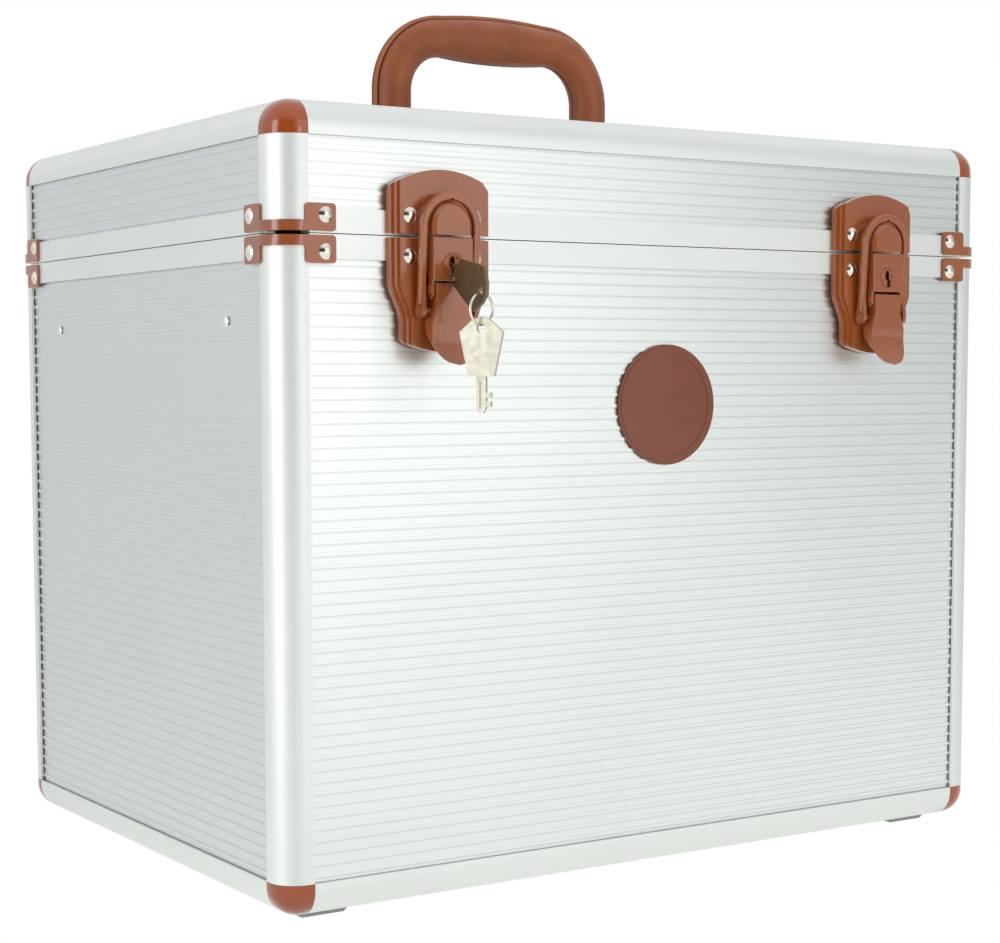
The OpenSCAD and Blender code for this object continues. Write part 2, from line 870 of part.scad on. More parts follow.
module latch_plate_left() in_frame() color(brown) at_latch(-1) latch_plate();
module latch_plate_right() in_frame() color(brown) at_latch(1) latch_plate();
module keeper_left() in_frame() color(brown) at_latch(-1) keeper();
module keeper_right() in_frame() color(brown) at_latch(1) keeper();

// Lock housing: a box open towards the plate, with two cheeks that carry the lever
module lock_housing() {
    seat = plate_t + play;
    cheek_low = lever_pivot_z - pivot_head_r * 2;
    cheek_out = housing_out - housing_wall;
    inner_w = housing_w - 2 * housing_wall;
    difference() {
        across(housing_w) polygon([
            [seat, housing_top], [housing_out - housing_wall / 2, housing_top],
            [housing_out, housing_top - housing_wall / 2], [housing_out, housing_bottom],
            [cheek_out, housing_bottom], [cheek_out, lever_pivot_z - pivot_head_r],
            [cheek_out - pivot_head_r, cheek_low], [seat, cheek_low]
        ]);
        across(inner_w) polygon([
            [seat - over, housing_top - housing_wall], [cheek_out, housing_top - housing_wall],
            [cheek_out, housing_bottom - over], [housing_out + over, housing_bottom - over],
            [housing_out + over, cheek_low - over], [seat - over, cheek_low - over]
        ]);
        translate([0, 0, lever_pivot_z])
            across(housing_w + over) translate([lever_pivot_out, 0]) circle(pivot_pin_r + play / 2);
        on_front(0, lock_z) cylinder(r = plug_r + run_play, h = housing_out + over);
    }
}

module lock_housing_left() in_frame() color(brown) at_latch(-1) lock_housing();
module lock_housing_right() in_frame() color(brown) at_latch(1) lock_housing();

// Pin across the cheeks, headed at both ends
module lever_pin() {
    translate([0, -lever_pivot_out, lever_pivot_z]) rotate([0, 90, 0]) {
        cylinder(r = pivot_pin_r, h = housing_w + pivot_head_t, center = true);
        for (s = [0, 1])
            mirror([0, 0, s]) translate([0, 0, housing_w / 2 + play / 2])
                cylinder(r = pivot_head_r, h = pivot_head_t);
    }
}

module lever_pin_left() in_frame() color(brown) at_latch(-1) lever_pin();
module lever_pin_right() in_frame() color(brown) at_latch(1) lever_pin();

// Half width of the lever at a share of its length: neck, flare, belly and rounded tip
function lever_half(t) =
    t < lever_neck_share ? lever_neck_w / 2 :
    t < lever_belly_share ?
        lever_neck_w / 2 + (lever_w - lever_neck_w) / 2
            * smooth((t - lever_neck_share) / (lever_belly_share - lever_neck_share)) :
    t < lever_round_share ? lever_w / 2 :
        let (past = (t - lever_round_share) / (1 - lever_round_share))
        lever_w / 2 * sqrt(max(0, 1 - past ^ lever_round_power));

// How far out the lever's face lies: slightly tilted to the crease at the belly, then hollow and bent
// outwards
function lever_face_out(t) =
    let (
        knee_out = lever_out + lever_t / 2,
        past = max(0, (t - lever_belly_share) / (1 - lever_belly_share))
    )
    t < lever_belly_share ? lever_out + (knee_out - lever_out) * t / lever_belly_share :
    knee_out + lever_flare * past ^ 2 - lever_crease * sin(180 * past) * (1 - past);

function lever_z(t) = lever_top - lever_len * t;

// Outline of the lever from the front, narrowed by an inset
module lever_outline(inset) {
    steps = 28;
    right = [for (i = [0 : steps]) [max(0, lever_half(i / steps) - inset), lever_z(i / steps)]];
    polygon(concat(right, mirrored(right)));
}

// Points of the lever's face in side view, moved back by a depth, from the top down to a share of its
// length
function lever_face_line(back, end) =
    let (steps = 20)
    [for (i = [0 : steps]) let (t = end * i / steps) [lever_face_out(t) - back, lever_z(t)]];

function backwards(list) = [for (i = [len(list) - 1 : -1 : 0]) list[i]];

// Side walls in side view: they carry the lever's pin and the bail's pin and run out before the tip
module lever_wall_side() {
    difference() {
        union() {
            translate([lever_pivot_out, lever_pivot_z]) circle(pivot_head_r);
            translate([bail_pivot_out, bail_pivot_z]) circle(eye_r);
            polygon(concat(
                lever_face_line(lever_t / 2, lever_skirt_share),
                [
                    [lever_face_out(lever_round_share) - lever_skirt, lever_z(lever_round_share)],
                    [bail_pivot_out - eye_r, bail_pivot_z],
                    [lever_pivot_out - pivot_head_r, lever_pivot_z],
                    [lever_pivot_out, lever_pivot_z + pivot_head_r]
                ]
            ));
        }
        translate([lever_pivot_out, lever_pivot_z]) circle(pivot_pin_r + run_play);
        translate([bail_pivot_out, bail_pivot_z]) circle(pivot_pin_r + play / 2);
    }
}

// Pressed lever: a bent front plate with side walls that follow its outline
module latch_lever() {
    reach = housing_out + lever_flare + over;
    intersection() {
        outwards(0, reach) lever_outline(0);
        across(lever_w + over)
            polygon(concat(lever_face_line(0, 1), backwards(lever_face_line(lever_t, 1))));
    }
    intersection() {
        outwards(0, reach) difference() {
            lever_outline(0);
            lever_outline(lever_wall);
            translate([lever_wall - lever_neck_w / 2, lever_top - over])
                square([lever_neck_w - 2 * lever_wall, 2 * over]);
        }
        across(lever_w + over) lever_wall_side();
    }
}

module latch_lever_left() in_frame() color(brown) at_latch(-1) latch_lever();
module latch_lever_right() in_frame() color(brown) at_latch(1) latch_lever();

// Two short pins that hang the bail on the lever, headed outside the eyes
module bail_pins() {
    start = lever_neck_w / 2 - lever_wall;
    eye_end = bail_leg_x + eye_t / 2 + play;
    for (s = [0, 1])
        mirror([s, 0, 0]) translate([start, -bail_pivot_out, bail_pivot_z]) rotate([0, 90, 0]) {
            cylinder(r = pivot_pin_r, h = eye_end - start + pivot_head_t / 2);
            translate([0, 0, eye_end - start]) cylinder(r = pivot_head_r, h = pivot_head_t);
        }
}

module bail_pins_left() in_frame() color(brown) at_latch(-1) bail_pins();
module bail_pins_right() in_frame() color(brown) at_latch(1) bail_pins();

module bail_section() round_rect(bail_bar, bail_deep, bar_round);

// Loop of a flat bar with a broad eye at each end and a small notch under its crown
module latch_bail() {
    translate([0, -bail_pivot_out, bail_pivot_z]) rotate([bail_tilt, 0, 0]) difference() {
        union() {
            for (s = [-1, 1]) translate([s * bail_leg_x, 0, 0]) {
                translate([0, 0, eye_r]) linear_extrude(bail_arm - eye_r) bail_section();
                across(eye_t) {
                    circle(eye_r);
                    polygon([
                        [-eye_r, 0], [eye_r, 0], [bail_deep / 2, paddle_len], [-bail_deep / 2, paddle_len]
                    ]);
                }
            }
            translate([0, 0, bail_arm]) rotate([90, 0, 0])
                rotate_extrude(angle = 180) translate([bail_leg_x, 0]) bail_section();
        }
        rotate([0, 90, 0]) cylinder(r = pivot_pin_r + run_play, h = bail_w + over, center = true);
        for (s = [-1, 1], face = [-1, 1])
            translate([s * bail_leg_x + face * (eye_t + over) / 2, 0, 0]) rotate([0, 90, 0])
                cylinder(r = eye_r + play, h = over, center = true);
        translate([0, 0, bail_arm + bail_leg_x - bail_bar / 2]) rotate([90, 0, 0])
            cylinder(r = crown_notch_r, h = bail_deep + over, center = true);
    }
}

module latch_bail_left() in_frame() color(brown) at_latch(-1) latch_bail();
module latch_bail_right() in_frame() color(brown) at_latch(1) latch_bail();

// Lock plug: journal flush with the wall, flange with a cam inside, dished keyhole with a rolled lip
module lock_plug() {
    flange_in = housing_out - housing_wall - play - housing_wall;
    cam_len = housing_h / 2 - 2 * housing_wall;
    on_front(0, lock_z) difference() {
        union() {
            translate([0, 0, flange_in]) cylinder(r = plug_r + plug_lip, h = housing_wall);
            translate([0, 0, flange_in]) cylinder(r = plug_r, h = housing_out - flange_in);
            translate([0, dish_up, housing_out])
                rotate_extrude() translate([dish_r + dish_lip_r, 0]) circle(dish_lip_r);
            translate([-cam_w / 2, 0, flange_in]) cube([cam_w, cam_len, housing_wall]);
        }
        translate([0, dish_up, housing_out - dish_deep])
            cylinder(r1 = dish_r - dish_deep, r2 = dish_r, h = dish_deep);
        translate([0, dish_up, 0]) linear_extrude(housing_out + over) intersection() {
            translate([-lens_off, 0]) circle(lens_r);
            translate([lens_off, 0]) circle(lens_r);
        }
        translate([-key_slot_w / 2, key_slot_wall - plug_r, 0])
            cube([key_slot_w, plug_r - key_slot_wall + dish_up, housing_out + over]);
    }
}

module lock_plug_left() in_frame() color(brown) at_latch(-1) lock_plug();
module lock_plug_right() in_frame() color(brown) at_latch(1) lock_plug();

// Flat key: bow with a hole, blade with a pressed groove and bits; the shoulder lies at the origin
module key_shape() {
    half = blade_w / 2;
    tip = half - blade_len;
    upper = [for (b = bow_shares) [bow_len * b[0], bow_w / 2 * b[1]]];
    lower = [for (i = [len(upper) - 2 : -1 : 0]) [upper[i][0], -upper[i][1]]];
    bits = [for (b = bit_shares, e = [0 : 3])
        [-blade_len * (e < 2 ? b[0] : b[1]), e == 1 || e == 2 ? -half - blade_w * b[2] : -half]];
    point = [[tip, -half], [-blade_len, -half / 2], [-blade_len, half / 2], [tip, half]];
    translate([0, 0, -key_t / 2]) difference() {
        linear_extrude(key_t) difference() {
            polygon(concat(upper, lower, [[0, -half]], bits, point, [[0, half]]));
            translate([bow_len - key_hole_in, 0]) circle(key_hole_r);
        }
        for (face = [-1, 1])
            translate([tip, -half * groove_share, face * key_t * (1 - groove_share)])
                cube([blade_len - blade_w, blade_w * groove_share, key_t]);
    }
}

module key() in_frame() color("#77705c") at_latch(-1)
    translate([0, -housing_out, lock_z - key_sink])
        rotate([key_droop, 0, 0])
            translate([0, -key_standoff, 0])
                mirror([0, 1, 0]) rotate([90, 0, 90]) key_shape();

module key_ring() in_frame() color(nickel) at_latch(-1)
    translate([0, -key_hole_out, ring_z])
        rotate([90, 0, ring_yaw])
            rotate_extrude() translate([ring_r, 0]) circle(ring_wire_r);

module spare_key() in_frame() color(nickel) at_latch(-1)
    translate([0, -key_hole_out, spare_hole_z])
        rotate([0, -90, spare_yaw])
            translate([-bow_len + key_hole_in, 0, 0]) key_shape();

// Knuckles of one leaf along the hinge, first or second set
module knuckles(first) {
    for (i = [first : 2 : knuckle_count - 1])
        translate([i * knuckle_w - hinge_len / 2 + knuckle_gap / 2, 0, 0])
            rotate([0, 90, 0]) cylinder(r = knuckle_r, h = knuckle_w - knuckle_gap);
}

// Hinge leaf drawn upwards from the pin, behind the back of the case
module hinge_leaf(first) {
    difference() {
        union() {
            translate([-hinge_len / 2, play - hinge_off, knuckle_r + knuckle_gap])
                cube([hinge_len, leaf_t, leaf_h - knuckle_r - knuckle_gap]);
            for (i = [first : 2 : knuckle_count - 1])
                translate([i * knuckle_w - hinge_len / 2 + knuckle_gap / 2, play - hinge_off, 0])
                    cube([knuckle_w - knuckle_gap, leaf_t, leaf_h / 2]);
            knuckles(first);
        }
        rotate([0, 90, 0]) cylinder(r = hinge_pin_r + run_play, h = hinge_len + over, center = true);
        for (s = [-1, 0, 1])
            translate([s * (hinge_len / 2 - hinge_end_in), 0, rivet_rise + leaf_t])
                rotate([90, 0, 0]) cylinder(r = shank_r + play, h = 2 * hinge_off, center = true);
    }
}

module at_hinge(side) {
    translate([side * hinge_x, case_d + hinge_off, seam_z]) children();
}

module hinge_lower_leaf_left() in_frame() color(brown) at_hinge(-1) mirror([0, 0, 1]) hinge_leaf(0);
module hinge_lower_leaf_right() in_frame() color(brown) at_hinge(1) mirror([0, 0, 1]) hinge_leaf(0);
module hinge_upper_leaf_left() in_frame() color(brown) at_hinge(-1) hinge_leaf(1);
module hinge_upper_leaf_right() in_frame() color(brown) at_hinge(1) hinge_leaf(1);
module hinge_pins() in_frame() color(nickel) for (side = [-1, 1])
    at_hinge(side) rotate([0, 90, 0]) cylinder(r = hinge_pin_r, h = hinge_len, center = true);

// Leather-covered handle: barrel grip, two bends, two tapered legs and a welt along the outer edge
module handle_grip() in_frame() color(leather) translate([0, case_d / 2, 0]) {
    grip_z = case_h + grip_rise;
    leg_top = grip_z - bend_r;
    union() {
        translate([0, 0, grip_z]) rotate([0, 90, 0]) rotate_extrude() intersection() {
            translate([grip_r - barrel_r, 0]) circle(barrel_r, $fn = 720);
            translate([0, -grip_len / 2]) square([grip_r, grip_len]);
        }
        for (s = [0, 1]) mirror([s, 0, 0]) {
            translate([grip_len / 2 - grip_core_r, 0, grip_z]) rotate([0, 90, 0])
                cylinder(r = grip_core_r, h = 2 * grip_core_r);
            translate([grip_len / 2, 0, leg_top]) rotate([90, 0, 0])
                rotate_extrude(angle = 90) translate([bend_r, 0]) circle(bend_tube_r);
            translate([handle_span / 2, 0, handle_foot_z])
                cylinder(r = bend_tube_r, h = leg_top - handle_foot_z);
        }
    }
}

// Half-round bead, its flat side on the line at this radius
module welt_bead(radius) {
    translate([radius + play / 2, 0]) intersection() {
        circle(welt_r);
        translate([0, -welt_r]) square(2 * welt_r);
    }
}

// Raised welt that follows the outer edge of grip, bends and legs
module handle_welt() in_frame() color(leather) translate([0, case_d / 2, 0]) {
    grip_z = case_h + grip_rise;
    leg_top = grip_z - bend_r;
    half_turn = asin(grip_len / 2 / barrel_r);
    translate([0, 0, grip_z + grip_r - barrel_r]) rotate([90, 0, 0]) rotate([0, 0, 90 - half_turn])
        rotate_extrude(angle = 2 * half_turn) welt_bead(barrel_r);
    for (s = [0, 1]) mirror([s, 0, 0]) {
        translate([grip_len / 2, 0, leg_top]) rotate([90, 0, 0])
            rotate_extrude(angle = 90) welt_bead(bend_r + bend_tube_r);
        translate([handle_span / 2, 0, handle_foot_z])
            linear_extrude(leg_top - handle_foot_z) welt_bead(bend_tube_r);
    }
}

// Middles of the handle's four screws, on the top plane of the case
module handle_screw_places() {
    for (s = [-1, 1], e = [-1, 1])
        translate([
            s * handle_span / 2 + e * (handle_plate_w / 2 - handle_screw_in),
            case_d / 2, case_h
        ]) children();
}

module handle_end_plates() in_frame() color(leather) difference() {
    for (s = [-1, 1])
        translate([s * handle_span / 2, case_d / 2, case_h - panel_out + play])
            linear_extrude(handle_plate_t - 2 * play)
                round_rect(handle_plate_w, handle_plate_d, handle_plate_d / 3);
    handle_screw_places() translate([0, 0, -panel_in])
        cylinder(r = handle_screw_r + play, h = panel_in + handle_plate_t);
}

// Screws through the end plates and the lid, headed outside
module handle_screws() in_frame() color(nickel) handle_screw_places()
    translate([0, 0, handle_plate_t - panel_out]) {
        cylinder(r1 = handle_screw_head_r, r2 = handle_screw_top_r, h = handle_screw_head_h);
        translate([0, 0, -panel_in - handle_plate_t + panel_out])
            cylinder(
                r = handle_screw_r,
                h = panel_in + handle_plate_t - panel_out + handle_screw_head_h / 2
            );
    }

// Lift-out tray on its rails
module tray() in_frame() color("#55585c") translate([0, case_d / 2, tray_z]) difference() {
    linear_extrude(tray_h) round_rect(tray_w, tray_d, tray_round);
    translate([0, 0, tray_wall])
        linear_extrude(tray_h)
            round_rect(tray_w - 2 * tray_wall, tray_d - 2 * tray_wall, tray_round - tray_wall);
}

// One long divider with a hand slot and two short ones
module tray_dividers() in_frame() color("#55585c") translate([0, case_d / 2, tray_z + tray_wall + play]) {
    height = tray_h - tray_wall - play - divider_drop;
    long = tray_w - 2 * tray_wall - 2 * play;
    short = tray_d / 2 - tray_wall - divider_t / 2 - 2 * play;
    translate([0, divider_t / 2, height / 2]) rotate([90, 0, 0]) linear_extrude(divider_t) difference() {
        square([long, height], center = true);
        translate([0, height / 2 - grip_slot_h])
            round_rect(grip_slot_w, grip_slot_h, grip_slot_h / 2 - play);
    }
    for (s = [-1, 1])
        translate([
            s * long / 6 - divider_t / 2,
            s > 0 ? divider_t / 2 + play : -divider_t / 2 - play - short,
            0
        ])
            cube([divider_t, short, height]);
}

base_front_panel();
base_back_panel();
base_left_panel();
base_right_panel();
base_bottom_panel();
base_posts();
base_edges();
base_rim();
base_corner_caps();
base_corner_braces();
base_rivets();
base_lining();
feet();
foot_screws();
badge_plate();
tray_rail_left();
tray_rail_right();
tray_rail_rivets();
latch_plate_left();
latch_plate_right();
lock_housing_left();
lock_housing_right();
lever_pin_left();
lever_pin_right();
hinge_lower_leaf_left();
hinge_lower_leaf_right();
hinge_pins();
lid_top_panel();
lid_front_panel();
lid_back_panel();
lid_left_panel();
lid_right_panel();
lid_posts();
lid_edges();
lid_rim();
lid_corner_caps();
lid_corner_braces();
lid_rivets();
lid_lining();
keeper_left();
keeper_right();
hinge_upper_leaf_left();
hinge_upper_leaf_right();
handle_grip();
handle_welt();
handle_end_plates();
handle_screws();
latch_lever_left();
latch_lever_right();
bail_pins_left();
bail_pins_right();
latch_bail_left();
latch_bail_right();
lock_plug_left();
lock_plug_right();
key();
key_ring();
spare_key();
tray();
tray_dividers();
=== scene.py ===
import math

import bmesh
import bpy
from mathutils import Matrix, Vector


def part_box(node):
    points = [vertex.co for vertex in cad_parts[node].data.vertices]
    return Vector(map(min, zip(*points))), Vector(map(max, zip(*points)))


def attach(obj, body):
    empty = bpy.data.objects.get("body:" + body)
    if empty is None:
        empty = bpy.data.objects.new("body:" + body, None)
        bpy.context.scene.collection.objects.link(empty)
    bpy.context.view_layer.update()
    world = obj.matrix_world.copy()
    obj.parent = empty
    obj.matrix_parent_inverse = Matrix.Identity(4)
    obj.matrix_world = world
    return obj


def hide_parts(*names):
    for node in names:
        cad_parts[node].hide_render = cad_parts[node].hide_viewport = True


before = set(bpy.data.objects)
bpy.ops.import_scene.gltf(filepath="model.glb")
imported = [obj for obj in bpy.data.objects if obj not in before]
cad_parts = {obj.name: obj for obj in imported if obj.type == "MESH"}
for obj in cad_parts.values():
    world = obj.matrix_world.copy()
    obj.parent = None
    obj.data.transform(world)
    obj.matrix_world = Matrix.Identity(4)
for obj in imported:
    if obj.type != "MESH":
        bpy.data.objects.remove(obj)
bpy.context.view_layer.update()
scene = bpy.context.scene
scene.view_settings.view_transform = "Standard"

MM = 0.001

# Camera at the photograph's viewing angle, from a fit of the case's edges
IMAGE_W, IMAGE_H = 1000, 943
AZIMUTH, ELEVATION, ROLL = -32.0602, 4.6491, -0.2306
CAMERA_PLACE = (-0.58505, -0.86919, 0.2307)
FOCAL_PX = 2049.4921
CENTRE_PX = (446.3749, 541.8332)
SENSOR_W = 36.0


def make_camera():
    data = bpy.data.cameras.new("camera")
    camera = bpy.data.objects.new("camera", data)
    scene.collection.objects.link(camera)
    azimuth, elevation, roll = (math.radians(a) for a in (AZIMUTH, ELEVATION, ROLL))
    back = Vector((
        math.sin(azimuth) * math.cos(elevation),
        -math.cos(azimuth) * math.cos(elevation),
        math.sin(elevation),
    ))
    right = (-back).cross(Vector((0, 0, 1))).normalized()
    down = (-back).cross(right).normalized()
    c, s = math.cos(roll), math.sin(roll)
    right, down = right * c - down * s, right * s + down * c
    turn = Matrix((right, -down, back)).transposed().to_4x4()
    camera.matrix_world = Matrix.Translation(Vector(CAMERA_PLACE)) @ turn
    data.sensor_fit = "HORIZONTAL"
    data.sensor_width = SENSOR_W
    data.lens = FOCAL_PX * SENSOR_W / IMAGE_W
    data.shift_x = (IMAGE_W / 2 - CENTRE_PX[0]) / IMAGE_W
    data.shift_y = (CENTRE_PX[1] - IMAGE_H / 2) / IMAGE_W
    data.clip_start, data.clip_end = 0.01, 50
    scene.camera = camera


make_camera()


# Material helpers
def srgb(r, g, b):
    def one(v):
        v /= 255
        return v / 12.92 if v <= 0.04045 else ((v + 0.055) / 1.055) ** 2.4
    return (one(r), one(g), one(b), 1.0)


def scaled(colour, factor):
    return tuple(min(1, v * factor) for v in colour[:3]) + (1,)


class Tree:
    """A node tree with small helpers for sums on its values."""

    def __init__(self, owner):
        owner.use_nodes = True
        self.nodes = owner.node_tree.nodes
        self.links = owner.node_tree.links

    def range(self, source, low, high, out_low, out_high):
        node = self.nodes.new("ShaderNodeMapRange")
        ends = {"From Min": low, "From Max": high, "To Min": out_low, "To Max": out_high}
        for key, value in ends.items():
            node.inputs[key].default_value = value
        self.links.new(source, node.inputs["Value"])
        return node.outputs["Result"]

    def math(self, operation, a, b=0.0):
        node = self.nodes.new("ShaderNodeMath")
        node.operation = operation
        for socket, value in zip(node.inputs, (a, b)):
            if isinstance(value, (int, float)):
                socket.default_value = value
            else:
                self.links.new(value, socket)
        return node.outputs["Value"]

    def axes(self, source):
        node = self.nodes.new("ShaderNodeSeparateXYZ")
        self.links.new(source, node.inputs["Vector"])
        return node.outputs


class Mat(Tree):
    """A Principled material with small helpers for its texture nodes."""

    def __init__(self, name):
        self.m = bpy.data.materials.new(name)
        super().__init__(self.m)
        self.bsdf = self.nodes["Principled BSDF"]
        self.place = self.nodes.new("ShaderNodeTexCoord").outputs["Object"]

    def set(self, **values):
        for key, value in values.items():
            self.bsdf.inputs[key.replace("_", " ")].default_value = value
        return self

    def stretched(self, scale):
        node = self.nodes.new("ShaderNodeMapping")
        node.inputs["Scale"].default_value = scale
        self.links.new(self.place, node.inputs["Vector"])
        return node.outputs["Vector"]

    def noise(self, scale, detail=3.0, rough=0.55, stretch=None):
        node = self.nodes.new("ShaderNodeTexNoise")
        node.inputs["Scale"].default_value = scale
        node.inputs["Detail"].default_value = detail
        node.inputs["Roughness"].default_value = rough
        place = self.stretched(stretch) if stretch else self.place
        self.links.new(place, node.inputs["Vector"])
        return node.outputs["Fac"]

    def cells(self, scale):
        node = self.nodes.new("ShaderNodeTexVoronoi")
        node.feature = "DISTANCE_TO_EDGE"
        node.inputs["Scale"].default_value = scale
        self.links.new(self.place, node.inputs["Vector"])
        return node.outputs["Distance"]

    def ramp(self, source, stops):
        node = self.nodes.new("ShaderNodeValToRGB")
        elements = node.color_ramp.elements
        for element, (at, colour) in zip(elements, stops):
            element.position = at
            element.color = colour
        self.links.new(source, node.inputs["Fac"])
        return node.outputs["Color"]

    def mix(self, factor, a, b):
        node = self.nodes.new("ShaderNodeMix")
        node.data_type = "RGBA"
        self.links.new(factor, node.inputs["Factor"])
        for key, value in (("A", a), ("B", b)):
            socket = [s for s in node.inputs if s.name == key and s.type == "RGBA"][0]
            if isinstance(value, tuple):
                socket.default_value = value
            else:
                self.links.new(value, socket)
        return [s for s in node.outputs if s.type == "RGBA"][0]

    def base(self):
        return self.bsdf.inputs["Base Color"].links[0].from_socket

    def colour(self, source):
        self.links.new(source, self.bsdf.inputs["Base Color"])
        return self

    def rough(self, source):
        self.links.new(source, self.bsdf.inputs["Roughness"])
        return self

    def bump(self, *layers):
        """Height sources, each with its strength and distance, one on top of the other."""
        previous = None
        for source, strength, distance in layers:
            node = self.nodes.new("ShaderNodeBump")
            node.inputs["Strength"].default_value = strength
            node.inputs["Distance"].default_value = distance
            self.links.new(source, node.inputs["Height"])
            if previous:
                self.links.new(previous, node.inputs["Normal"])
            previous = node.outputs["Normal"]
        self.links.new(previous, self.bsdf.inputs["Normal"])
        return self


def tinted(m, base, spread, scale):
    """Base colour with a slow, slight variation."""
    stops = [(0.3, scaled(base, 1 - spread)), (0.7, scaled(base, 1 + spread))]
    return m.colour(m.ramp(m.noise(scale, 4, 0.6), stops))


# Painted shade lines on the ribs of the front and back sheets: pitch, the dark line's share of
# it, its strength and shade
RIB_PITCH = 5 * MM
RIB_LINE = 0.12
RIB_PAINTED_SHADE_AMOUNT = 0.26
RIB_SHADE = 0.45


def painted_rib_shade_line(m, low):
    """Painted shade along the lower edge of each rib, with the ribs counted from the sheet's
    lower edge.
    """
    steps = m.math("DIVIDE", m.math("SUBTRACT", m.axes(m.place)["Z"], low), RIB_PITCH)
    middle = 0.5 - RIB_LINE / 2
    off = m.math("ABSOLUTE", m.math("SUBTRACT", m.math("FRACT", steps), middle))
    return m.range(off, RIB_LINE / 2, RIB_LINE, RIB_PAINTED_SHADE_AMOUNT, 0)


def aluminium(name, base, grain, rough=0.3, metallic=0.85, ribs_from=None):
    m = Mat(name).set(Metallic=metallic)
    tinted(m, base, 0.012, 9)
    if ribs_from is not None:
        # The ribbed front and back sheets get a painted shade line under each rib
        m.colour(m.mix(painted_rib_shade_line(m, ribs_from), m.base(), scaled(base, RIB_SHADE)))
    lines = m.noise(1, 5, 0.7, grain)
    m.rough(m.range(lines, 0.3, 0.7, rough - 0.02, rough + 0.04))
    return m.bump((lines, 0.02, 0.0002), (m.noise(900, 2), 0.02, 0.0001)).m


def paint(name, base, rough=0.3, coat=0.9):
    """Glossy paint with a faint orange peel."""
    m = Mat(name).set(Coat_Weight=coat, Coat_Roughness=0.07, Coat_IOR=1.55)
    tinted(m, base, 0.04, 60)
    m.rough(m.range(m.noise(140, 4), 0.3, 0.7, rough - 0.05, rough + 0.09))
    return m.bump((m.noise(1400, 2), 0.03, 0.0002), (m.noise(260, 2), 0.015, 0.0002))


def painted(name, base, **kind):
    return paint(name, base, **kind).m


def painted_plug(name, base, brass):
    """Brass lock plug with a painted front: brass shows where the keyhole cuts into it."""
    m = paint(name, base)
    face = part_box("lock_plug_right")[0].y + 1.5 * MM
    inside = m.range(m.axes(m.place)["Y"], face, face + 0.2 * MM, 0, 1)
    m.colour(m.mix(inside, m.base(), brass))
    m.links.new(inside, m.bsdf.inputs["Metallic"])
    return m.m


def plated(name, base, rough, metallic=1.0, spread=0.05, dents=0.04):
    m = Mat(name).set(Metallic=metallic)
    tinted(m, base, spread, 120)
    m.rough(m.range(m.noise(300, 4, 0.6), 0.3, 0.7, rough - 0.06, rough + 0.1))
    return m.bump((m.noise(700, 3, 0.6), dents, 0.0001)).m


def plastic(name, base, rough, coat, grain, depth):
    m = Mat(name).set(Coat_Weight=coat, Coat_Roughness=0.06, Specular_IOR_Level=0.3)
    tinted(m, base, 0.06, 40)
    m.rough(m.range(m.noise(200, 3), 0.3, 0.7, rough - 0.03, rough + 0.06))
    return m.bump((m.noise(grain, 3), depth, 0.0003)).m


def leather(name, base, dark, rough=0.46):
    m = Mat(name).set(Specular_IOR_Level=0.45, Coat_Weight=0.12, Coat_Roughness=0.35)
    patches = m.noise(38, 5, 0.6)
    grain = m.cells(1150)
    body = m.ramp(patches, [(0.3, dark), (0.62, base)])
    pores = m.range(grain, 0.0, 0.12, 0.35, 0.0)
    m.colour(m.mix(pores, body, dark))
    m.rough(m.range(patches, 0.3, 0.7, rough + 0.08, rough - 0.06))
    return m.bump((grain, 0.12, 0.0004), (m.noise(70, 4), 0.12, 0.0012)).m


def felt(name, base):
    m = Mat(name).set(Roughness=0.95, Sheen_Weight=0.3, Sheen_Roughness=0.5)
    tinted(m, base, 0.25, 700)
    return m.bump((m.noise(1600, 4, 0.7), 0.4, 0.0006)).m


BROWN = srgb(168, 90, 42)
BRASS = srgb(190, 150, 70)
SHEET = srgb(240, 245, 240)
# The side panels' sheet is a darker, bluer copy of the front sheet: painted shade
SIDE_SHEET_PAINTED_SHADE = srgb(229, 234, 232)
EDGE = srgb(242, 246, 241)
RAIL = srgb(205, 208, 206)
